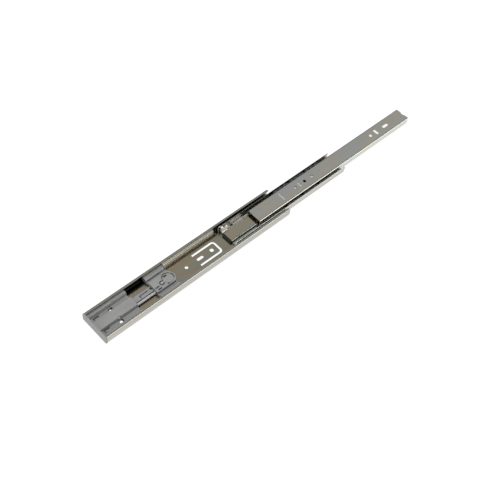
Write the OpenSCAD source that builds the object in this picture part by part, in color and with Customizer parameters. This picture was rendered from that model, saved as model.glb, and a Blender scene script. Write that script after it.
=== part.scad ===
// Soft-close ball-bearing drawer slide: three telescoping steel members, ball cages between
// them, and a spring and damper unit at the rear that pulls the drawer shut.
// The slide lies on its cabinet face. +X is the way the drawer opens, +Z is towards the drawer.
// The origin is the centre of the cabinet face of the outer member.

/* [Rails] */
// Overall length of the outer (cabinet) member, end cap included
outer_len = 305; // [303:1:307]
// Overall width of the slide
outer_w = 45.8; // [45.7:0.1:46]
// Overall thickness of the slide, from cabinet face to drawer face
slide_h = 12.7; // [12.7:0.1:13]
// Thickness of the steel strip that all three members are rolled from
sheet = 1.2; // [1.1:0.05:1.2]
// Length of the middle member
mid_len = 207; // [206:0.5:208]
// Length of the inner (drawer) member
inner_len = 301; // [299:1:303]

/* [Travel] */
// How far the middle member stands forward in the modelled pose
mid_rest = 211; // [211:0.5:212]
// How far the inner member stands forward in the modelled pose
inner_rest = 260; // [259:0.5:261]

/* [Balls] */
// Diameter of the balls between the outer and the middle member
outer_ball_d = 4.7; // [4.5:0.05:4.7]
// Diameter of the balls between the middle and the inner member
inner_ball_d = 4.5; // [4.3:0.05:4.5]
// Balls on each side of the outer row
outer_ball_count = 11; // [7:1:11]

/* [Mounting holes] */
// Diameter of the round screw holes in the cabinet member
cabinet_hole_d = 4.6; // [4:0.1:5]
// Diameter of the round screw holes in the drawer member
drawer_hole_d = 4.5; // [4:0.1:5]
// Distance of the cabinet member's first screw hole from its front end
front_hole_setback = 37; // [35:0.5:40]

/* [Soft-close unit] */
// Length of the grey plastic housing at the rear
housing_len = 59.6; // [59:0.1:59.8]
// Distance that the carriage is drawn forward when the closer is armed
carriage_travel = 29; // [28:0.5:29]

/* [Hidden] */
$fn = 48;
eps = 0.01;

zinc = [0.62, 0.63, 0.60];
bright_steel = [0.80, 0.81, 0.82];
grey_plastic = [0.62, 0.63, 0.63];
dark_plastic = [0.10, 0.10, 0.10];
bar_plastic = [0.52, 0.51, 0.54];
cream_plastic = [0.82, 0.80, 0.72];

// Running gap between pieces that slide past each other
gap = 0.3;
// Gap between fixed pieces that seat against each other
seat = 0.05;

// Cross-section places, each measured from the centre line (y) or the cabinet face (z)
half_w = outer_w / 2;
groove_depth = 0.35;
outer_groove_depth = 0.15;
groove_blend_r = 0.8;
ball_groove_r = 3.1;
outer_wall_y = half_w - outer_groove_depth - sheet / 2;
outer_row_z = 4.9;
outer_row_y = half_w - 3.6;
outer_lip_w = 3.55;
mid_web_z = 1.9;
mid_wall_y = 16.65;
mid_top_z = 11.4;
mid_hat_z = 6;
mid_hat_y = 7.6;
mid_hat_base_y = 9.5;
inner_row_z = 8.4;
inner_row_y = 14.06;
inner_wall_y = 11.46;
inner_foot_z = 4.6;
inner_web_z = slide_h - sheet;
corner_r = 2.1;

// End cap and soft-close unit
cap_t = 1.8;
plateau_y = 7;
plateau_foot_y = 7.8;
plateau_z = 8.2;
channel_z = 3.5;
housing_ridge_y = 15.4;
housing_ridge_z = 8.5;
body_side_y = outer_wall_y - sheet / 2 - 0.37;
body_chamfer = 1.4;
body_floor_z = sheet + seat;
window_x = 32;
window_y = 10.6;
carriage_x = housing_len + 0.2 + carriage_travel;
plate_y = 9.2;
cavity_y = 8.1;
cavity_z = 5;
carriage_channel_y = 13.4;
carriage_channel_z = 4.3;
carriage_floor_z = sheet + gap;
tongue_z = 6.2;
tongue_r = 10;
damper_y = -5.2;
damper_z = 3.65;
rod_d = 3.5;
damper_d = 4.2;
spring_y = 2.3;
spring_z = 2.95;
spring_d = 2.6;
spring_x = 24;
lug_x = carriage_x + 27.6;
bar_low_y = -2.6;
bar_high_y = 5.8;
bar_top_z = 4.7;
bar_end_x = 93;
catch_pivot_x = carriage_x + 12.9;
catch_pivot_y = -1.9;
catch_head_x = carriage_x + 23.6;
catch_head_y = -0.8;
catch_head_r = 7;
catch_eye_r = 1.9;
catch_bore_d = 2;
// Slot through the catch's head and the plate under it, from the centre of the head
head_slot_x = [-4, 1.4];
head_slot_y = [3.6, 5.7];
catch_swing = 8;
catch_bottom_z = tongue_z + 0.2;
catch_top_z = plateau_z;

// Cages and balls
cage_t = 0.8;
outer_cage_len = 92;
outer_cage_x = mid_rest - 1.5;
outer_pitch = 8;
inner_cage_len = 87;
inner_cage_x = mid_rest + 98;
inner_groups = 3;
group_pitch = 30;
balls_in_group = 3;
inner_pitch = 8.5;
first_ball = 5;
cage_web_z = 6.4;
cage_web_y = 10.2;
cage_web_t = 0.6;

// Features of the inner member, from its rear end
long_bar_x = 51;
long_bar_half = 6.4;
short_bar_half = 3.8;
tab_w = 3.2;
lever_rivet_x = 77;
short_bar_x = 85;
rear_hole_x = 94.8;
bracket_rivet_x = 109;
front_hole_x = 230.4;
cross_slot_x = 242;
long_slot_x = 262;

// ---- Roll-formed sections: a path walked along the middle of the strip ----

// A straight stretch of the path, and a bend of it (positive angles turn left)
function straight(d) = [d, 0, 0];
function bend(r, angle) = [0, r, angle];

// Where one stretch takes the walker; each place is [across, up, heading]
function step_along(p, s) =
    s[1] == 0
        ? [[p[0] + s[0] * cos(p[2]), p[1] + s[0] * sin(p[2]), p[2]]]
        : let (n = ceil(abs(s[2]) / 12), side = sign(s[2]))
            [for (k = [1:n])
                let (h = p[2] + s[2] * k / n)
                [
                    p[0] + side * s[1] * (sin(h) - sin(p[2])),
                    p[1] - side * s[1] * (cos(h) - cos(p[2])),
                    h
                ]];

function walk(start, path, i = 0) =
    i == len(path)
        ? []
        : let (stretch = step_along(start, path[i]))
            concat(stretch, walk(stretch[len(stretch) - 1], path, i + 1));

function side_of(places, d) =
    [for (p = places) [p[0] - d * sin(p[2]), p[1] + d * cos(p[2])]];

function flipped(points) = [for (p = points) [-p[0], p[1]]];

function reversed(points) = [for (i = [len(points) - 1:-1:0]) points[i]];

// The ball groove: out by the given depth, round the ball, and back in
function groove(depth, turn) =
    let (a = acos(1 - depth / (groove_blend_r + ball_groove_r)))
    [
        bend(groove_blend_r, -turn * a),
        bend(ball_groove_r, 2 * turn * a),
        bend(groove_blend_r, -turn * a)
    ];

// Height of a groove along the wall
function groove_h(depth) =
    let (sum = groove_blend_r + ball_groove_r)
    2 * sum * sin(acos(1 - depth / sum));

// A strip of the given thickness, symmetrical about y = 0, drawn along X
module rolled(length, start_z, path, thickness = sheet) {
    places = walk([0, start_z, 0], path);
    left = side_of(places, thickness / 2);
    right = side_of(places, -thickness / 2);
    rotate([90, 0, 90])
        linear_extrude(length)
            polygon(concat(right, reversed(left), flipped(left), reversed(flipped(right))));
}

// ---- Small shared shapes ----

// Points along an arc, from angle a to angle b
function arc_points(x, z, r, a, b, steps = 8) =
    [for (k = [0:steps]) let (t = a + (b - a) * k / steps) [x + r * cos(t), z + r * sin(t)]];

// Puts a piece at its distance from the rear end of the slide
module from_rear(x) {
    translate([x - outer_len / 2, 0, 0])
        children();
}

module block(x, y, z) {
    translate([x[0], y[0], z[0]])
        cube([x[1] - x[0], y[1] - y[0], z[1] - z[0]]);
}

module both_sides() {
    children();
    mirror([0, 1, 0])
        children();
}

module upright_hole(x, y, d) {
    translate([x, y, -1])
        cylinder(d = d, h = slide_h + 2);
}

// A round-ended slot through the sheet, along X or along Y
module slot(x, length, width, along_y = false) {
    translate([x, 0, -1])
        rotate([0, 0, along_y ? 90 : 0])
            linear_extrude(slide_h + 2)
                union() {
                    square([length - width, width], center = true);
                    for (end = [-1, 1])
                        translate([end * (length - width) / 2, 0])
                            circle(d = width);
                }
}

// A rectangle with round corners, centred on the origin
module round_rect(size, r) {
    square([size[0] - 2 * r, size[1]], center = true);
    square([size[0], size[1] - 2 * r], center = true);
    for (x = [-1, 1], y = [-1, 1])
        translate([x * (size[0] / 2 - r), y * (size[1] / 2 - r)])
            circle(r = r);
}

// Cutter that rounds the corner of a side wall, seen from the side: end = 1 at a front end,
// end = -1 at a rear end, up = 1 for a top corner, up = -1 for a bottom corner
module wall_corner(x, z, r, y_min, end = 1, up = -1) {
    both_sides()
        translate([x, y_min, z])
            mirror([end > 0 ? 0 : 1, 0, 0])
                mirror([0, 0, up > 0 ? 1 : 0])
                    difference() {
                        translate([-r, 0, -1])
                            cube([r + 1, 6, r + 1]);
                        translate([-r, -1, r])
                            rotate([-90, 0, 0])
                                cylinder(r = r, h = 8);
                    }
}

// Cutter that takes the plan-view corners off a flat web
module web_corner(x, y, r) {
    both_sides()
        translate([x - r, y - r, -1])
            difference() {
                cube([r + 1, r + 1, slide_h + 2]);
                translate([0, 0, -1])
                    cylinder(r = r, h = slide_h + 4);
            }
}

// ---- Outer member ----

// The narrow U-shaped cut that frees the bayonet tongue of the web
module tongue_cut() {
    leg_y = 9.1;
    cut_w = 3;
    rear_x = 160;
    front_x = 197.5;
    turn_r = 5;
    for (side = [-1, 1])
        block([rear_x, front_x - turn_r], [side * leg_y - cut_w / 2, side * leg_y + cut_w / 2],
            [-1, sheet + 1]);
    block([front_x - cut_w, front_x], [turn_r - leg_y - cut_w / 2, leg_y + cut_w / 2 - turn_r],
        [-1, sheet + 1]);
    both_sides()
        translate([front_x - turn_r, leg_y + cut_w / 2 - turn_r, -1])
            rotate_extrude(angle = 90)
                translate([turn_r - cut_w, 0])
                    square([cut_w, sheet + 2]);
}

module outer_rail() {
    groove_half = groove_h(outer_groove_depth) / 2;
    straight_below = outer_row_z - groove_half - sheet / 2 - corner_r;
    lip_r = 1.4;
    straight_above = slide_h - sheet / 2 - lip_r - outer_row_z - groove_half;
    path = concat(
        [straight(outer_wall_y - corner_r), bend(corner_r, 90), straight(straight_below)],
        groove(outer_groove_depth, 1),
        [straight(straight_above), bend(lip_r, 90), straight(outer_lip_w - lip_r - sheet / 2)]
    );
    color(zinc)
        from_rear(0)
            difference() {
                translate([cap_t + seat, 0, 0])
                    rolled(outer_len - cap_t - seat, sheet / 2, path);
                upright_hole(143.6, 0, cabinet_hole_d);
                upright_hole(outer_len - front_hole_setback, 0, cabinet_hole_d);
                upright_hole(186.2, 0, 5.6);
                slot(166.4, 10.5, 4.2);
                tongue_cut();
                wall_corner(outer_len, 0, 4, 18);
                // The lips lean back at the front end
                both_sides()
                    translate([outer_len - 1.4, outer_wall_y, slide_h - 2])
                        rotate([0, 0, 24])
                            block([0, 6], [-6, 2], [0, 3]);
                both_sides()
                    upright_hole(window_x, window_y - 0.4, 4.2);
            }
}

// ---- Soft-close unit ----

module rear_housing() {
    corner = 2;
    shoulder_r = 1.2;
    mark_z = 2;
    mark_w = 1.8;
    // Cross-section from the centre line out to one side
    section = concat(
        [
            [0, body_floor_z], [body_side_y - body_chamfer, body_floor_z],
            [body_side_y, body_floor_z + body_chamfer], [body_side_y, housing_ridge_z]
        ],
        arc_points(housing_ridge_y + shoulder_r, housing_ridge_z - shoulder_r, shoulder_r, 90, 165),
        [
            [housing_ridge_y - 1, channel_z], [plateau_foot_y, channel_z],
            [plateau_y, plateau_z], [0, plateau_z]
        ]
    );
    color(grey_plastic)
        from_rear(0)
            difference() {
                union() {
                    rotate([90, 0, 90])
                        linear_extrude(cap_t)
                            translate([0, slide_h / 2])
                                round_rect([outer_w, slide_h], corner);
                    both_sides()
                        translate([cap_t - eps, 0, 0])
                            rotate([90, 0, 90])
                                linear_extrude(housing_len - cap_t + eps)
                                    polygon(section);
                }
                // Bore of the damper and of the spring
                translate([4, damper_y, damper_z])
                    rotate([0, 90, 0])
                        cylinder(d = damper_d + 2 * seat, h = housing_len);
                translate([spring_x - 3, spring_y, spring_z])
                    rotate([0, 90, 0])
                        cylinder(d = spring_d + 0.4, h = housing_len);
                translate([spring_x, spring_y, body_floor_z - 1])
                    cylinder(d = 1.3 + 2 * seat, h = 5.6);
                both_sides() {
                    // Clip windows through the floor of the channels
                    block([window_x - 3, window_x + 3], [window_y - 2.2, window_y + 2.2], [0, 9]);
                }
                for (side = [-1, 1]) {
                    // Notch beside each window
                    block([window_x - 1.6, window_x + 1.6],
                        [side * window_y + 2.1, side * window_y + 4.2], [channel_z - 0.5, 9]);
                    // L-shaped moulded marks beside the cap
                    block([7, 15.5], [side * window_y + 1, side * window_y + 1 + mark_w],
                        [channel_z - mark_z, channel_z + 1]);
                    block([7, 7 + mark_w], [side * window_y - 1.8, side * window_y + 1 + mark_w],
                        [channel_z - mark_z, channel_z + 1]);
                }
            }
}

module guide_bar() {
    color(bar_plastic)
        from_rear(0)
            difference() {
                block([housing_len + seat, bar_end_x], [bar_low_y, bar_high_y],
                    [body_floor_z, bar_top_z]);
                // Spring tunnel, open on top where the carriage's lug travels
                translate([housing_len - 1, spring_y, spring_z])
                    rotate([0, 90, 0])
                        cylinder(d = spring_d + 0.3, h = bar_end_x);
                block([lug_x - carriage_travel - 1.4, bar_end_x + 1],
                    [spring_y - 1.5, spring_y + 1.5], [spring_z, 6]);
                // L-shaped window over the spring
                block([69.4, 82.4], [spring_y - 0.6, spring_y + 0.6], [spring_z, 6]);
                block([69.4, 70.8], [spring_y - 3.8, spring_y + 0.6], [bar_top_z - 1.4, 6]);
            }
}

module damper_cylinder() {
    color(bright_steel)
        from_rear(4.1)
            translate([0, damper_y, damper_z])
                rotate([0, 90, 0])
                    difference() {
                        cylinder(d = damper_d, h = housing_len - 4.1);
                        translate([0, 0, 1.2])
                            cylinder(d = rod_d + 0.2, h = housing_len);
                    }
}

module damper_rod() {
    rear_x = 36;
    color(cream_plastic)
        from_rear(rear_x)
            translate([0, damper_y, damper_z])
                rotate([0, 90, 0])
                    cylinder(d = rod_d, h = carriage_x + 1.6 - rear_x);
}

// The closed outer shape of the coil spring
module closing_spring() {
    color(bright_steel)
        from_rear(spring_x + 1)
            translate([0, spring_y, spring_z])
                rotate([0, 90, 0])
                    cylinder(d = spring_d, h = lug_x - 0.1 - spring_x - 1);
}

module spring_anchor_pin() {
    color(bright_steel)
        from_rear(spring_x)
            translate([0, spring_y, body_floor_z])
                cylinder(d = 1.3, h = 4.4);
}

// One of the carriage's two side ridges, seen end on; shrink draws its skin in
module ridge(x, shrink = 0) {
    shoulder_r = 2.4;
    side = body_side_y - gap;
    chamfer = body_chamfer - 0.2;
    section = concat(
        [
            [plate_y - 0.5, carriage_floor_z], [side - chamfer, carriage_floor_z],
            [side, carriage_floor_z + chamfer], [side, plateau_z - shrink]
        ],
        arc_points(carriage_channel_y + shoulder_r, plateau_z - shoulder_r, shoulder_r - shrink, 90, 172),
        [[carriage_channel_y + shrink, carriage_channel_z], [plate_y - 0.5, carriage_channel_z]]
    );
    translate([x[0], 0, 0])
        rotate([90, 0, 90])
            linear_extrude(x[1] - x[0])
                polygon(section);
}

// The catch's place on the carriage after it has swung by the given angle
module at_catch(angle) {
    translate([catch_pivot_x - carriage_x, catch_pivot_y, 0])
        rotate([0, 0, angle])
            children();
}

// Part of a ring on the catch's head circle, from z upwards
module head_ring(inner_r, width, from, angle, z) {
    translate([catch_head_x - carriage_x, catch_head_y, z])
        rotate([0, 0, from])
            rotate_extrude(angle = angle)
                translate([inner_r, 0])
                    square([width, 4]);
}

module carriage() {
    front_x = 31.2;
    rear_wall = 2.4;
    flange = 0.8;
    groove_in = 0.8;
    slot_floor_z = 6;
    head_x = catch_head_x - catch_pivot_x;
    head_y = catch_head_y - catch_pivot_y;
    eye_pocket_r = 3.6;
    color(grey_plastic)
        from_rear(carriage_x)
            difference() {
                union() {
                    mirror([0, 1, 0])
                        ridge([0, front_x]);
                    // The +Y ridge ends in a flange behind a groove
                    ridge([0, front_x - 2 * flange]);
                    ridge([front_x - 2 * flange - eps, front_x - flange + eps], groove_in);
                    ridge([front_x - flange, front_x]);
                    block([0, catch_head_x - carriage_x], [-plate_y, plate_y],
                        [carriage_floor_z, plateau_z]);
                    // Round front, on the catch's head circle
                    intersection() {
                        translate([catch_head_x - carriage_x, catch_head_y, carriage_floor_z])
                            cylinder(r = tongue_r, h = plateau_z - carriage_floor_z);
                        block([0, 40], [-plate_y + 0.05, plate_y - 0.05], [cavity_z, plateau_z]);
                    }
                }
                // Hollow underside, which runs over the guide bar
                block([rear_wall, 40], [-cavity_y, cavity_y], [-1, cavity_z]);
                block([-1, 40], [bar_low_y - gap, bar_high_y + gap], [-1, bar_top_z + gap]);
                translate([-1, damper_y, damper_z])
                    rotate([0, 90, 0])
                        cylinder(d = rod_d + 0.1, h = 3);
                // Pocket of the catch, with room for its swing
                for (angle = [0, catch_swing / 2, catch_swing])
                    at_catch(angle)
                        translate([head_x, head_y, tongue_z])
                            cylinder(r = catch_head_r + gap, h = 4);
                at_catch(0)
                    block([0, head_x], [-1.6, 3], [tongue_z, 10]);
                at_catch(0)
                    translate([0, 0, tongue_z])
                        cylinder(r = eye_pocket_r, h = 4);
                at_catch(0)
                    translate([0, 0, cavity_z + 0.2])
                        cylinder(d = catch_bore_d, h = 6);
                head_ring(catch_head_r, 1.5, -34, 58, tongue_z);
                // Slots of the catch's spring legs
                block([1.4, 7.4], [-4.4, -2.4], [slot_floor_z, 10]);
                block([3.4, 8.9], [-8, -6], [cavity_z - 1, 10]);
                block([18.4, 21.8], [-8, -6.1], [cavity_z - 1, 10]);
                // Opening under the slot in the catch's head
                translate([catch_head_x - carriage_x, catch_head_y, 0])
                    block(head_slot_x, head_slot_y, [cavity_z - 1, 10]);
            }
    // Lug that the closing spring pulls on
    color(grey_plastic)
        from_rear(lug_x)
            block([0, 2], [spring_y - 0.9, spring_y + 0.9], [2.2, cavity_z + eps]);
}

module catch_pivot_pin() {
    color(bright_steel)
        from_rear(catch_pivot_x)
            translate([0, catch_pivot_y, cavity_z + 0.25]) {
                cylinder(d = 1.9, h = catch_top_z - cavity_z);
                translate([0, 0, catch_top_z + 0.1 - cavity_z - 0.25])
                    cylinder(d = 2.6, h = 0.45);
            }
}

// Swinging catch: a round head with a slot, on a narrow arm with a pivot eye
module catch_lever() {
    thick = catch_top_z - catch_bottom_z;
    head_x = catch_head_x - catch_pivot_x;
    head_y = catch_head_y - catch_pivot_y;
    color(grey_plastic)
        from_rear(catch_pivot_x)
            translate([0, catch_pivot_y, catch_bottom_z])
                difference() {
                    union() {
                        cylinder(r = catch_eye_r, h = thick);
                        block([0, head_x], [-1.2, 1.4], [0, thick]);
                        translate([head_x, head_y, 0])
                            cylinder(r = catch_head_r, h = thick);
                    }
                    translate([0, 0, -1])
                        cylinder(d = catch_bore_d, h = 4);
                    translate([head_x, head_y, 0])
                        block(head_slot_x, head_slot_y, [-1, 3]);
                }
}

// ---- Middle member ----

module mid_rail() {
    web_c = mid_web_z + sheet / 2;
    hat_c = mid_hat_z - sheet / 2;
    rise = atan2(hat_c - web_c, mid_hat_base_y - mid_hat_y);
    lean_len = norm([hat_c - web_c, mid_hat_base_y - mid_hat_y]);
    low_end = outer_row_z + groove_h(groove_depth) / 2;
    high_start = inner_row_z - groove_h(groove_depth) / 2;
    high_end = inner_row_z + groove_h(groove_depth) / 2;
    foot_r = 0.75;
    top_r = 0.75;
    crest_r = 1.5;
    fold_r = 0.7;
    crest_tangent = crest_r * tan(rise / 2);
    tangent = fold_r * tan(rise / 2);
    path = concat(
        [
            straight(mid_hat_y - crest_tangent), bend(crest_r, -rise),
            straight(lean_len - crest_tangent - tangent),
            bend(fold_r, rise), straight(mid_wall_y - foot_r - mid_hat_base_y - tangent),
            bend(foot_r, 90), straight(outer_row_z - groove_h(groove_depth) / 2 - web_c - foot_r)
        ],
        groove(groove_depth, -1),
        [straight(high_start - low_end)],
        groove(groove_depth, 1),
        [straight(mid_top_z - sheet / 2 - top_r - high_end), bend(top_r, 90)]
    );
    color(zinc)
        from_rear(mid_rest)
            difference() {
                rolled(mid_len, hat_c, path);
                // Web cut back at the rear, and the side walls' corners taken off
                block([-1, 2.5], [-mid_wall_y + 2, mid_wall_y - 2], [0, 7]);
                wall_corner(0, mid_top_z, 6, 14, -1, 1);
                wall_corner(mid_len, mid_web_z, 4.5, 14.5);
                block([18.5, 23.5], [11.6, 14.8], [0, 5]);
                upright_hole(57, 0, 5);
                upright_hole(185, 0, 5);
                slot(117, 16, 6);
                upright_hole(9, 11, 1.5);
            }
}

module mid_rear_bumper() {
    color(dark_plastic)
        from_rear(mid_rest)
            block([0.7, 2.4], [-8.2, 8.2], [mid_web_z, cavity_z - gap]);
}

// Block that stops the inner ball cage at the rear
module cage_stop() {
    low_z = mid_web_z + sheet + seat;
    color(cream_plastic)
        from_rear(mid_rest)
            difference() {
                union() {
                    block([3.2, 6.4], [12.5, 15], [low_z, 10.8]);
                    block([6.3, 14.5], [12.5, 15], [low_z, 6.8]);
                    block([3.2, 12], [9.8, 12.6], [low_z, 4.1]);
                }
                block([8, 11.4], [13, 14.4], [5.4, 8]);
                upright_hole(9, 11, 1.6);
            }
}

module cage_stop_rivet() {
    head_z = 4.15;
    color(bright_steel)
        from_rear(mid_rest + 9)
            translate([0, 11, 0]) {
                translate([0, 0, mid_web_z + 0.05])
                    cylinder(d = 1.4, h = head_z - mid_web_z);
                translate([0, 0, head_z - eps])
                    cylinder(d = 2, h = 0.2);
            }
}

// Stop at the front that the release lever meets at full extension
module mid_front_stop() {
    color(bright_steel)
        from_rear(mid_rest + 203)
            block([0, 2], [5.9, 7.2], [mid_hat_z + 0.02, 8.6]);
}

// ---- Cages and balls ----

module outer_cage(side) {
    color(zinc)
        from_rear(outer_cage_x)
            difference() {
                block([0, outer_cage_len],
                    [side * outer_row_y - cage_t / 2, side * outer_row_y + cage_t / 2], [1.9, 8.6]);
                for (i = [0:outer_ball_count - 1])
                    translate([6 + i * outer_pitch, side * outer_row_y, outer_row_z])
                        rotate([90, 0, 0])
                            cylinder(d = outer_ball_d + 0.3, h = 3, center = true);
            }
}

module outer_balls(side) {
    color(bright_steel)
        from_rear(outer_cage_x)
            for (i = [0:outer_ball_count - 1])
                translate([6 + i * outer_pitch, side * outer_row_y, outer_row_z])
                    sphere(d = outer_ball_d);
}

module inner_ball_places(side) {
    for (g = [0:inner_groups - 1], k = [0:balls_in_group - 1])
        translate([first_ball + g * group_pitch + k * inner_pitch, side * inner_row_y, inner_row_z])
            children();
}

// One bent strip: a flat web over the middle member's hat, and a wall on each side
module inner_cage() {
    fold_r = 0.5;
    low_z = mid_web_z + sheet + 0.3 + cage_web_t / 2;
    web_c = cage_web_z + cage_web_t / 2;
    path = [
        straight(cage_web_y - fold_r), bend(fold_r, -90), straight(web_c - low_z - 2 * fold_r),
        bend(fold_r, 90), straight(inner_row_y - cage_web_y - 2 * fold_r), bend(fold_r, 90),
        straight(10.1 - low_z - fold_r)
    ];
    color(zinc)
        from_rear(inner_cage_x)
            difference() {
                rolled(inner_cage_len, web_c, path, cage_web_t);
                // The web is shorter than the walls, and has lightening slots
                block([-1, 4], [-12.4, 12.4], [0, 8]);
                block([72, inner_cage_len + 1], [-12.4, 12.4], [0, 8]);
                for (x = [18, 38, 58])
                    slot(x, 12, 6);
                for (side = [-1, 1])
                    inner_ball_places(side)
                        rotate([90, 0, 0])
                            cylinder(d = inner_ball_d + 0.3, h = 2.4, center = true);
                // Notches between the groups of balls
                for (g = [1:inner_groups - 1])
                    both_sides()
                        block([g * group_pitch - 3.6, g * group_pitch + 0.6],
                            [inner_row_y - 1, inner_row_y + 1], [8.2, 12]);
            }
}

module inner_balls(side) {
    color(bright_steel)
        from_rear(inner_cage_x)
            inner_ball_places(side)
                sphere(d = inner_ball_d);
}

// ---- Inner member ----

// Slot in the web that a tab of the bracket fills
module tab_slot(x, half_length) {
    block([x - tab_w / 2 - 0.1, x + tab_w / 2 + 0.1], [-half_length - 0.1, half_length + 0.1],
        [inner_web_z - 1, 20]);
}

// Tab that stands up into the web, with a knurled end
module tab(x, half_length) {
    top_z = slide_h - 0.1;
    pitch = 1.6;
    difference() {
        block([x - tab_w / 2, x + tab_w / 2], [-half_length, half_length],
            [inner_web_z - 0.5, top_z]);
        for (y = [pitch - half_length:pitch:half_length - 0.5])
            block([x - tab_w, x + tab_w], [y - 0.2, y + 0.2], [top_z - 0.25, 20]);
    }
}

module inner_rail() {
    web_c = inner_web_z + sheet / 2;
    edge_r = 1.5;
    high_end = inner_row_z + groove_h(groove_depth) / 2;
    low_end = inner_row_z - groove_h(groove_depth) / 2;
    path = concat(
        [straight(inner_wall_y - edge_r), bend(edge_r, -90), straight(web_c - edge_r - high_end)],
        groove(groove_depth, 1),
        [straight(low_end - inner_foot_z)]
    );
    color(zinc)
        from_rear(inner_rest)
            difference() {
                rolled(inner_len, web_c, path);
                tab_slot(long_bar_x, long_bar_half);
                tab_slot(short_bar_x, short_bar_half);
                upright_hole(rear_hole_x, 0, drawer_hole_d);
                upright_hole(front_hole_x, 0, drawer_hole_d);
                slot(cross_slot_x, 9.6, 4, true);
                slot(long_slot_x, 11, 4.4);
                for (x = [lever_rivet_x, bracket_rivet_x]) {
                    upright_hole(x, 0, 2.5);
                    translate([x, 0, inner_web_z + 0.6])
                        cylinder(d = 4.6, h = 2);
                }
                web_corner(inner_len, inner_wall_y + sheet / 2, 2.4);
                wall_corner(inner_len, inner_foot_z, 5, 10);
                // Shallow wave in the middle of the front edge
                translate([inner_len + 3.2, 0, inner_web_z - 1])
                    cylinder(r = 4.6, h = 4);
            }
}

// Plate under the inner web, with the tab that drives the soft-close carriage
module actuator_bracket() {
    plate_z = inner_web_z - seat;
    plate_t = 0.9;
    color(zinc)
        from_rear(inner_rest)
            difference() {
                union() {
                    block([48, 113], [-4.4, 4.4], [plate_z - plate_t, plate_z]);
                    block([long_bar_x - 2.4, long_bar_x + 2.4], [-6.8, 6.8], [plate_z - plate_t, plate_z]);
                    tab(long_bar_x, long_bar_half);
                    tab(short_bar_x, short_bar_half);
                    block([short_bar_x - 0.8, short_bar_x + 0.8], [-3.8, 3.8], [9, plate_z - plate_t + eps]);
                }
                upright_hole(rear_hole_x, 0, drawer_hole_d + 0.6);
                upright_hole(lever_rivet_x, 0, 2.5);
                upright_hole(bracket_rivet_x, 0, 2.5);
            }
}

// Rivet with a shallow domed head sunk into the web, and a tail that ends at the given height
module rivet(x, tail_z, tail_head_d, tail_head_t) {
    dome_d = 4.2;
    dome_z = inner_web_z + 0.65;
    dome_h = slide_h - 0.05 - dome_z;
    dome_r = (pow(dome_d / 2, 2) + pow(dome_h, 2)) / (2 * dome_h);
    color(bright_steel)
        from_rear(inner_rest + x) {
            translate([0, 0, tail_z])
                cylinder(d = 2.4, h = dome_z + 0.1 - tail_z);
            translate([0, 0, dome_z])
                intersection() {
                    cylinder(d = dome_d, h = dome_h);
                    translate([0, 0, dome_h - dome_r])
                        sphere(r = dome_r);
                }
            translate([0, 0, tail_z])
                cylinder(d = tail_head_d, h = tail_head_t);
        }
}

module bracket_rivet() {
    rivet(bracket_rivet_x, 10.5, 2.4, 0.1);
}

module lever_rivet() {
    rivet(lever_rivet_x, 8.7, 4.2, 0.45);
}

// Release lever, which hooks on the middle member's front stop until it is pressed in
module release_lever() {
    low_z = 9.2;
    high_z = 10.4;
    hook_z = 7.3;
    tip_x = 109.4 - lever_rivet_x;
    color(dark_plastic)
        from_rear(inner_rest + lever_rivet_x)
            difference() {
                union() {
                    translate([0, 0, low_z])
                        cylinder(r = 4.2, h = high_z - low_z);
                    block([-3.4, 3], [0, 8.6], [low_z, high_z]);
                    block([-3.4, tip_x], [5.2, 8.6], [low_z, high_z]);
                    block([tip_x - 3, tip_x], [5.2, 8.6], [hook_z, low_z + eps]);
                }
                translate([0, 0, hook_z])
                    cylinder(d = 2.5, h = 5);
            }
}

outer_rail();
rear_housing();
guide_bar();
damper_cylinder();
damper_rod();
closing_spring();
spring_anchor_pin();
carriage();
catch_pivot_pin();
catch_lever();
mid_rail();
mid_rear_bumper();
cage_stop();
cage_stop_rivet();
mid_front_stop();
outer_cage(1);  // outer_cage_left
outer_balls(1);  // outer_balls_left
outer_cage(-1);  // outer_cage_right
outer_balls(-1);  // outer_balls_right
inner_cage();
inner_balls(1);  // inner_balls_left
inner_balls(-1);  // inner_balls_right
inner_rail();
actuator_bracket();
bracket_rivet();
lever_rivet();
release_lever();
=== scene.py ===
"""Looks of a soft-close ball-bearing drawer slide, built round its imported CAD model."""
import math

import bmesh
import bpy
from mathutils import Matrix, Vector


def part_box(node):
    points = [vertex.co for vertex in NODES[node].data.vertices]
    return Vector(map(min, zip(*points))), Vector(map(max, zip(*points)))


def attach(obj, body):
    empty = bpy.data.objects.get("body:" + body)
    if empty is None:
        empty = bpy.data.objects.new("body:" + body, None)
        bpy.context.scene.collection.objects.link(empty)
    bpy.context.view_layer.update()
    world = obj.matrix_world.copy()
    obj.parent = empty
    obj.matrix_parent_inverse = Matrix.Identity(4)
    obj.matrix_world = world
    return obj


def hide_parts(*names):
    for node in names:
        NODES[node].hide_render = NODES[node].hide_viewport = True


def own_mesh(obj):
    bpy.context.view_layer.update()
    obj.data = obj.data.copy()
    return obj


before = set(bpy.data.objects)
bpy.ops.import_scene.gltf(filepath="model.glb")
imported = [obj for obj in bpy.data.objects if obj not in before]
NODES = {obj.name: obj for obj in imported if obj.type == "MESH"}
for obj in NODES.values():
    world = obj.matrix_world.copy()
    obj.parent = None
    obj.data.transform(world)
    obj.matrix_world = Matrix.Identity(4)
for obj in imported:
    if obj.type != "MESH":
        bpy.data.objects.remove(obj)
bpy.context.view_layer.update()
MM = 0.001

# Sockets of Blender's Mix node when it mixes colours
MIX_FACTOR, MIX_A, MIX_B = 0, 6, 7
MIX_RESULT = 2


# ---- Camera and stage ----

CAMERA_PLACE = (-0.44041, -0.47007, 0.89646)
CAMERA_RIGHT = Vector((0.72922, -0.68045, 0.07224))
CAMERA_UP = Vector((0.51120, 0.61192, 0.60352))
CAMERA_LENS = 64.77
SENSOR_WIDTH = 36.0
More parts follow.
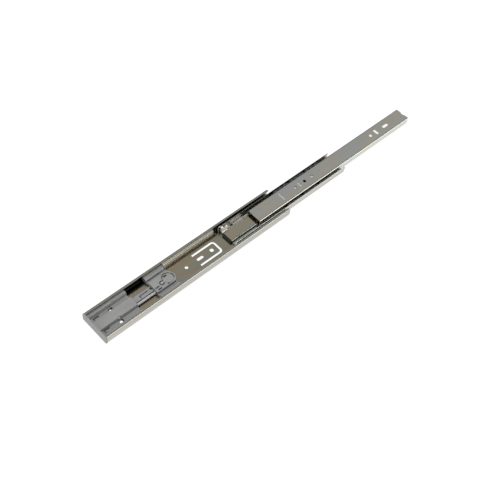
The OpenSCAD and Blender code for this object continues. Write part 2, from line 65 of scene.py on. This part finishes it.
# Brightness round the slide's long axis: sine of the angle from straight up (+Y side positive)
# and radiance. A white strip low on the -Y side, black from there to straight up, mid grey on
# the +Y side, and black again low on that side.
AROUND_AXIS = (
    (-1.00, 0.45),
    (-0.96, 0.8),
    (-0.88, 2.8),
    (-0.60, 3.2),
    (-0.48, 0.02),
    (0.00, 0.02),
    (0.25, 0.36),
    (0.42, 0.51),
    (0.62, 0.46),
    (0.85, 0.05),
    (1.00, 0.03),
)
# The soft dome's radiance by the same sine, brighter on the +Y side
DOME = ((-1.0, 0.45), (-0.5, 0.50), (0.2, 0.85), (1.0, 1.5))
# How much of the dome shows, by the direction's part along X. Where it is 0, the tone round the
# long axis shows instead.
DOME_SHARE = (
    (-1.00, 1.0),
    (0.05, 1.0),
    (0.22, 0.0),
    (0.72, 0.0),
    (0.85, 0.9),
    (1.00, 0.9),
)
LIGHT_PLACE = (0, 0.15, 1.90)
LIGHT_TARGET = (0, 0, 0)
LIGHT_SIDE = 0.6
LIGHT_POWER = 18
FLOOR_HALF = 6.0
FLOOR_DROP = 0.05 * MM
FLOOR_GREY = 0.18
FLOOR_GLOW = 0.88


def make_camera():
    data = bpy.data.cameras.new("camera")
    data.lens = CAMERA_LENS
    data.sensor_width = SENSOR_WIDTH
    data.clip_start = 0.05
    data.clip_end = 20
    camera = bpy.data.objects.new("camera", data)
    bpy.context.scene.collection.objects.link(camera)
    back = CAMERA_RIGHT.cross(CAMERA_UP).normalized()
    up = back.cross(CAMERA_RIGHT).normalized()
    right = up.cross(back)
    rotation = Matrix((right, up, back)).transposed()
    camera.matrix_world = Matrix.Translation(CAMERA_PLACE) @ rotation.to_4x4()
    bpy.context.scene.camera = camera


def make_light():
    """A soft light overhead, for the plastic.

    Glossy rays don't see it, because bright metal would mirror it as a white patch.
    """
    data = bpy.data.lights.new("above", "AREA")
    data.shape = "SQUARE"
    data.size = LIGHT_SIDE
    data.energy = LIGHT_POWER
    light = bpy.data.objects.new("above", data)
    bpy.context.scene.collection.objects.link(light)
    light.location = LIGHT_PLACE
    light.visible_glossy = False
    light.rotation_mode = "QUATERNION"
    aim = Vector(LIGHT_TARGET) - Vector(LIGHT_PLACE)
    light.rotation_quaternion = aim.to_track_quat("-Z", "Y")


def world_ramp(tree, value, stops):
    """Turns a value from -1 to 1 into a grey, by the given (value, grey) stops."""
    place = tree.nodes.new("ShaderNodeMapRange")
    place.inputs["From Min"].default_value = -1
    tree.links.new(value, place.inputs["Value"])
    ramp = tree.nodes.new("ShaderNodeValToRGB")
    tree.links.new(place.outputs[0], ramp.inputs[0])
    elements = ramp.color_ramp.elements
    while len(elements) < len(stops):
        elements.new(0.5)
    for element, (at, grey) in zip(elements, stops):
        element.position = (at + 1) / 2
        element.color = (grey, grey, grey, 1)
    return ramp.outputs[0]


def make_world():
    """A studio whose tone changes round the slide's long axis in one zone along X.

    In every other direction it is a soft dome.
    """
    world = bpy.data.worlds.new("studio")
    bpy.context.scene.world = world
    world.use_nodes = True
    tree = world.node_tree
    tree.nodes.clear()
    out = tree.nodes.new("ShaderNodeOutputWorld")
    shade = tree.nodes.new("ShaderNodeBackground")
    coords = tree.nodes.new("ShaderNodeTexCoord")
    split = tree.nodes.new("ShaderNodeSeparateXYZ")
    across = tree.nodes.new("ShaderNodeVectorMath")
    across.operation = "MULTIPLY"
    across.inputs[1].default_value = (0, 1, 1)
    unit = tree.nodes.new("ShaderNodeVectorMath")
    unit.operation = "NORMALIZE"
    split_unit = tree.nodes.new("ShaderNodeSeparateXYZ")
    tree.links.new(coords.outputs["Generated"], split.inputs[0])
    tree.links.new(coords.outputs["Generated"], across.inputs[0])
    tree.links.new(across.outputs[0], unit.inputs[0])
    tree.links.new(unit.outputs[0], split_unit.inputs[0])
    mix = tree.nodes.new("ShaderNodeMix")
    mix.data_type = "RGBA"
    tree.links.new(world_ramp(tree, split.outputs["X"], DOME_SHARE), mix.inputs[MIX_FACTOR])
    tree.links.new(world_ramp(tree, split_unit.outputs["Y"], AROUND_AXIS), mix.inputs[MIX_A])
    tree.links.new(world_ramp(tree, split_unit.outputs["Y"], DOME), mix.inputs[MIX_B])
    tree.links.new(mix.outputs[MIX_RESULT], shade.inputs["Color"])
    # The backdrop itself is plain white, like the floor
    backdrop = tree.nodes.new("ShaderNodeBackground")
    backdrop.inputs["Color"].default_value = (1, 1, 1, 1)
    path = tree.nodes.new("ShaderNodeLightPath")
    seen = tree.nodes.new("ShaderNodeMixShader")
    tree.links.new(path.outputs["Is Camera Ray"], seen.inputs[0])
    tree.links.new(shade.outputs[0], seen.inputs[1])
    tree.links.new(backdrop.outputs[0], seen.inputs[2])
    tree.links.new(seen.outputs[0], out.inputs[0])


def make_floor():
    mesh = bpy.data.meshes.new("floor")
    corners = [(x * FLOOR_HALF, y * FLOOR_HALF, 0) for x, y in ((-1, -1), (1, -1), (1, 1), (-1, 1))]
    mesh.from_pydata(corners, [], [(0, 1, 2, 3)])
    floor = bpy.data.objects.new("floor", mesh)
    bpy.context.scene.collection.objects.link(floor)
    floor.location.z = -FLOOR_DROP
    material = bpy.data.materials.new("floor_paper")
    material.use_nodes = True
    shader = material.node_tree.nodes["Principled BSDF"]
    shader.inputs["Base Color"].default_value = (FLOOR_GREY, FLOOR_GREY, FLOOR_GREY, 1)
    shader.inputs["Roughness"].default_value = 0.9
    shader.inputs["Specular IOR Level"].default_value = 0.1
    shader.inputs["Emission Color"].default_value = (1, 1, 1, 1)
    shader.inputs["Emission Strength"].default_value = FLOOR_GLOW
    mesh.materials.append(material)


# ---- Material building blocks ----

class Shader:
    """A material with one Principled shader, and short calls that add nodes to it."""

    def __init__(self, name, colour, roughness, metallic=0.0):
        self.material = bpy.data.materials.new(name)
        self.material.use_nodes = True
        self.tree = self.material.node_tree
        self.shader = self.tree.nodes["Principled BSDF"]
        self.shader.inputs["Base Color"].default_value = (*colour, 1)
        self.shader.inputs["Roughness"].default_value = roughness
        self.shader.inputs["Metallic"].default_value = metallic

    def node(self, kind, **settings):
        made = self.tree.nodes.new(kind)
        for key, value in settings.items():
            setattr(made, key, value)
        return made

    def link(self, a, b):
        self.tree.links.new(a, b)

    def object_coords(self, stretch):
        """Object coordinates, scaled per axis: small numbers stretch the pattern out."""
        coords = self.node("ShaderNodeTexCoord")
        mapping = self.node("ShaderNodeMapping")
        mapping.inputs["Scale"].default_value = stretch
        self.link(coords.outputs["Object"], mapping.inputs[0])
        return mapping.outputs[0]

    def noise(self, stretch, detail, rough=0.5):
        """A noise pattern, from 0 to 1, in object coordinates."""
        noise = self.node("ShaderNodeTexNoise")
        noise.inputs["Scale"].default_value = 1.0
        noise.inputs["Detail"].default_value = detail
        noise.inputs["Roughness"].default_value = rough
        self.link(self.object_coords(stretch), noise.inputs["Vector"])
        return noise.outputs["Fac"]

    def ramp(self, factor, stops):
        ramp = self.node("ShaderNodeValToRGB")
        elements = ramp.color_ramp.elements
        while len(elements) < len(stops):
            elements.new(0.5)
        for element, (place, colour) in zip(elements, stops):
            element.position = place
            element.color = (*colour, 1)
        self.link(factor, ramp.inputs[0])
        return ramp.outputs[0]

    def mix(self, factor, a, b, blend="MIX"):
        """Mixes two colours; each of the three may be an output or a plain value."""
        mix = self.node("ShaderNodeMix", data_type="RGBA", blend_type=blend)
        for place, value in ((MIX_FACTOR, factor), (MIX_A, a), (MIX_B, b)):
            socket = mix.inputs[place]
            if isinstance(value, bpy.types.NodeSocket):
                self.link(value, socket)
            elif isinstance(value, tuple):
                socket.default_value = (*value, 1)
            else:
                socket.default_value = value
        return mix.outputs[MIX_RESULT]

    def range(self, factor, low, high):
        """Maps 0..1 to low..high."""
        mapped = self.node("ShaderNodeMapRange")
        mapped.inputs["To Min"].default_value = low
        mapped.inputs["To Max"].default_value = high
        self.link(factor, mapped.inputs["Value"])
        return mapped.outputs[0]

    def crevices(self, distance, low):
        """Painted shade: grey that falls from white to the given low value in narrow corners."""
        shade = self.node("ShaderNodeAmbientOcclusion")
        shade.samples = 8
        shade.inputs["Distance"].default_value = distance
        return self.ramp(shade.outputs["AO"], [(0.35, (low, low, low)), (0.85, (1, 1, 1))])

    def patch(self, x_range, y_range, z_range, blur):
        """A soft-edged block in object coordinates: 1 inside, 0 outside."""
        coords = self.node("ShaderNodeTexCoord")
        split = self.node("ShaderNodeSeparateXYZ")
        self.link(coords.outputs["Object"], split.inputs[0])
        product = None
        for axis, (low, high) in (("X", x_range), ("Y", y_range), ("Z", z_range)):
            for edge, sign in ((low, 1), (high, -1)):
                step = self.node("ShaderNodeMapRange", interpolation_type="SMOOTHSTEP")
                step.inputs["From Min"].default_value = edge - sign * blur / 2
                step.inputs["From Max"].default_value = edge + sign * blur / 2
                self.link(split.outputs[axis], step.inputs["Value"])
                if product is None:
                    product = step.outputs[0]
                    continue
                times = self.node("ShaderNodeMath", operation="MULTIPLY")
                self.link(product, times.inputs[0])
                self.link(step.outputs[0], times.inputs[1])
                product = times.outputs[0]
        return product

    def colour(self, output):
        self.link(output, self.shader.inputs["Base Color"])

    def roughness(self, output):
        self.link(output, self.shader.inputs["Roughness"])

    def bump(self, *layers):
        """Each layer is (height output, distance in metres); they add up."""
        previous = None
        for height, distance in layers:
            bump = self.node("ShaderNodeBump")
            bump.inputs["Distance"].default_value = distance
            self.link(height, bump.inputs["Height"])
            if previous is not None:
                self.link(previous, bump.inputs["Normal"])
            previous = bump.outputs[0]
        self.link(previous, self.shader.inputs["Normal"])


# Each place is (x range, y range, z range, width of its soft edge).
# A dark corner of the outer member, between the housing and the carriage, painted black as painted
# shade. Grease is a guess.
GAP_SHADE = ((-99 * MM, -60 * MM), (15 * MM, 26 * MM), (-4 * MM, 11 * MM), 6 * MM)
# The inner faces of the outer member: a little under its outer width and height
INSIDE_OUTER = ((-1, 1), (-22.2 * MM, 22.2 * MM), (0.6 * MM, 12.1 * MM), 0.3 * MM)
# The flat of the outer web, where the plating's colours are strongest
OUTER_WEB = ((-1, 1), (-19 * MM, 19 * MM), (-2 * MM, 2 * MM), 1 * MM)
# The top of the middle member's hat
MID_HAT = ((-1, 1), (-9 * MM, 9 * MM), (4 * MM, 8 * MM), 1 * MM)

# Colours of the thin plating film, by noise value: blue, grey, straw, pink, green and violet
PLATING = [
    (0.30, (0.76, 0.81, 0.93)),
    (0.38, (0.86, 0.88, 0.86)),
    (0.45, (0.95, 0.88, 0.62)),
    (0.52, (1.00, 0.80, 0.67)),
    (0.60, (0.83, 0.88, 0.70)),
    (0.72, (0.86, 0.83, 0.94)),
]
# Share of those colours off the flat where a member shows them in full
TINT_OFF_FLAT = 0.2
# Black of the painted shade in the outer member's corner
GAP_SHADE_BLACK = (0.012, 0.013, 0.013)


def zinc_material(name, base, tint_share, roughness=0.20, grain_share=0.8, crevice_shade=0.25,
                  bands=(9, 105, 105), flat=None, shade_patch=None):
    """Bright zinc plating on rolled strip: lines along X, soft bands of straw, pink and blue.

    flat is the place that shows the plating colours in full, and the last one is a place painted
    black as painted shade.
    """
    made = Shader(name, base, roughness, 1.0)
    tint = made.ramp(made.noise(bands, 2.0), PLATING)
    streaks = made.noise((6, 900, 900), 3.0)
    grain = made.ramp(streaks, [(0.25, (0.86, 0.86, 0.86)), (0.75, (1.08, 1.08, 1.08))])
    if flat:
        tint_share = made.range(made.patch(*flat), TINT_OFF_FLAT, tint_share)
    tinted = made.mix(tint_share, base, tint, "MULTIPLY")
    lined = made.mix(grain_share, tinted, grain, "MULTIPLY")
    # Painted shade in narrow corners
    shaded = made.mix(1.0, lined, made.crevices(3.0 * MM, crevice_shade), "MULTIPLY")
    # Painted shade: black over the given place, kept to the outer member's inner faces
    if shade_patch:
        patch_shaded = made.mix(made.patch(*shade_patch), shaded, GAP_SHADE_BLACK)
        shaded = made.mix(made.patch(*INSIDE_OUTER), shaded, patch_shaded)
    made.colour(shaded)
    stains = made.noise((40, 120, 120), 4.0, 0.6)
    made.roughness(made.range(stains, roughness - 0.04, roughness + 0.06))
    scratches = made.noise((25, 2600, 2600), 2.0)
    waves = made.noise((8, 60, 60), 1.0)
    made.bump((scratches, 0.008 * MM), (waves, 0.10 * MM))
    return made.material


def steel_material(name, base, roughness, lines=1500):
    """Turned or drawn plain steel, with fine marks."""
    made = Shader(name, base, roughness, 1.0)
    marks = made.noise((lines, lines, lines), 2.0)
    made.roughness(made.range(marks, roughness - 0.05, roughness + 0.08))
    soot = made.noise((300, 300, 300), 3.0)
    made.colour(made.ramp(soot, [(0.3, tuple(c * 0.86 for c in base)), (0.7, base)]))
    made.bump((marks, 0.01 * MM))
    return made.material


def plastic_material(name, base, roughness, grain=0.02, sheen=0.0):
    """Moulded plastic with a spark-eroded grain, flow clouds and painted shade in its corners."""
    made = Shader(name, base, roughness)
    clouds = made.noise((45, 90, 90), 3.0)
    body = made.ramp(
        clouds,
        [(0.3, tuple(c * 0.93 for c in base)), (0.7, tuple(min(1, c * 1.05) for c in base))],
    )
    # Painted shade in narrow corners
    made.colour(made.mix(1.0, body, made.crevices(1.3 * MM, 0.05), "MULTIPLY"))
    texture = made.noise((2600, 2600, 2600), 2.0)
    scuffs = made.noise((120, 700, 700), 2.0)
    made.roughness(made.range(scuffs, roughness - 0.08, roughness + 0.08))
    made.bump((texture, grain * MM), (clouds, 0.05 * MM))
    made.shader.inputs["Coat Weight"].default_value = sheen
    made.shader.inputs["Coat Roughness"].default_value = 0.35
    return made.material


MATERIALS = {
    # The outer member gets black painted shade in its corner between the housing and the carriage
    "outer": zinc_material("zinc_outer", (0.46, 0.457, 0.425), 1.0, flat=OUTER_WEB,
                           shade_patch=GAP_SHADE),
    "mid": zinc_material("zinc_mid", (0.52, 0.52, 0.50), 1.0, flat=MID_HAT),
    "inner": zinc_material("zinc_inner", (0.62, 0.63, 0.605), 0.4, grain_share=0.5,
                           bands=(11, 50, 50)),
    "cage": zinc_material("zinc_cage", (0.40, 0.40, 0.38), 0.5, 0.26),
    "bracket": zinc_material("zinc_bracket", (0.84, 0.84, 0.80), 0.2, 0.55, crevice_shade=0.8),
    # The balls' steel is coloured near black: painted shade, for balls that sit in the dark
    # channels
    "ball": steel_material("ball_steel", (0.14, 0.143, 0.143), 0.30, 400),
    "pin": steel_material("pin_steel", (0.88, 0.88, 0.86), 0.45),
    "rivet": steel_material("rivet_steel", (0.80, 0.80, 0.78), 0.55),
    "spring": steel_material("spring_wire", (0.50, 0.50, 0.49), 0.30),
    "grey": plastic_material("grey_plastic", (0.235, 0.240, 0.234), 0.45, sheen=0.1),
    "bar": plastic_material("bar_plastic", (0.235, 0.235, 0.247), 0.42, sheen=0.1),
    "rod": plastic_material("rod_plastic", (0.42, 0.41, 0.40), 0.32, 0.01, sheen=0.2),
    "cream": plastic_material("cream_plastic", (0.72, 0.69, 0.60), 0.30, 0.01, sheen=0.3),
    "black": plastic_material("black_plastic", (0.012, 0.012, 0.012), 0.45),
}

NODE_MATERIALS = {
    "outer_rail": "outer",
    "rear_housing": "grey",
    "guide_bar": "bar",
    "damper_cylinder": "pin",
    "damper_rod": "rod",
    "closing_spring": "spring",
    "spring_anchor_pin": "pin",
    "carriage": "grey",
    "catch_pivot_pin": "pin",
    "catch_lever": "grey",
    "mid_rail": "mid",
    "mid_rear_bumper": "black",
    "cage_stop": "cream",
    "cage_stop_rivet": "pin",
    "mid_front_stop": "pin",
    "outer_cage_left": "cage",
    "outer_cage_right": "cage",
    "outer_balls_left": "ball",
    "outer_balls_right": "ball",
    "inner_cage": "cage",
    "inner_balls_left": "ball",
    "inner_balls_right": "ball",
    "inner_rail": "inner",
    "actuator_bracket": "bracket",
    "bracket_rivet": "rivet",
    "lever_rivet": "rivet",
    "release_lever": "black",
}


def paint_cad_nodes():
    for name, key in NODE_MATERIALS.items():
        mesh = NODES[name].data
        mesh.materials.clear()
        mesh.materials.append(MATERIALS[key])


# Width of each node's softened edges, in millimetres
EDGE_WIDTHS = {
    "outer_rail": 0.14,
    "mid_rail": 0.14,
    "inner_rail": 0.05,
    "rear_housing": 0.22,
    "carriage": 0.22,
    "catch_lever": 0.2,
    "guide_bar": 0.2,
    "cage_stop": 0.2,
    "release_lever": 0.2,
    "mid_rear_bumper": 0.2,
}


def soften_edges():
    """Rounds the sharp edges a little, so that they catch the light."""
    for name, width in EDGE_WIDTHS.items():
        bevel = NODES[name].modifiers.new("soft_edges", "BEVEL")
        bevel.width = width * MM
        bevel.segments = 2
        bevel.limit_method = "ANGLE"
        bevel.angle_limit = math.radians(40)
        bevel.use_clamp_overlap = True
        flats = NODES[name].modifiers.new("flat_faces", "WEIGHTED_NORMAL")
        flats.keep_sharp = True
        flats.weight = 100


# ---- New pieces ----

def make_spring():
    """The closing spring as a wound wire, between its anchor pin and the carriage's lug."""
    low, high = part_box("closing_spring")
    centre = (low + high) / 2
    wire_r = 0.26 * MM
    coil_r = (high.y - low.y) / 2 - wire_r
    turns = 62
    per_turn = 14
    sides = 6
    length = high.x - low.x - 2 * wire_r
    bm = bmesh.new()
    rings = []
    for i in range(turns * per_turn + 1):
        share = i / (turns * per_turn)
        angle = 2 * math.pi * turns * share
        outward = Vector((0, math.cos(angle), math.sin(angle)))
        place = Vector((low.x + wire_r + length * share, centre.y, centre.z)) + outward * coil_r
        ring = []
        for k in range(sides):
            turn = 2 * math.pi * k / sides
            offset = outward * math.cos(turn) + Vector((1, 0, 0)) * math.sin(turn)
            ring.append(bm.verts.new(place + offset * wire_r))
        rings.append(ring)
    for a, b in zip(rings, rings[1:]):
        for k in range(sides):
            bm.faces.new((a[k], a[(k + 1) % sides], b[(k + 1) % sides], b[k]))
    bm.faces.new(reversed(rings[0]))
    bm.faces.new(rings[-1])
    bmesh.ops.recalc_face_normals(bm, faces=bm.faces)
    for face in bm.faces:
        face.smooth = True
    mesh = bpy.data.meshes.new("spring_coil")
    bm.to_mesh(mesh)
    bm.free()
    mesh.materials.append(MATERIALS["spring"])
    spring = bpy.data.objects.new("spring_coil", mesh)
    bpy.context.scene.collection.objects.link(spring)
    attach(spring, "cabinet_member")
    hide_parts("closing_spring")
    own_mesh(spring)


make_camera()
make_world()
make_floor()
make_light()
paint_cad_nodes()
soften_edges()
make_spring()

bpy.context.scene.view_settings.view_transform = "Standard"
bpy.context.scene.view_settings.look = "None"
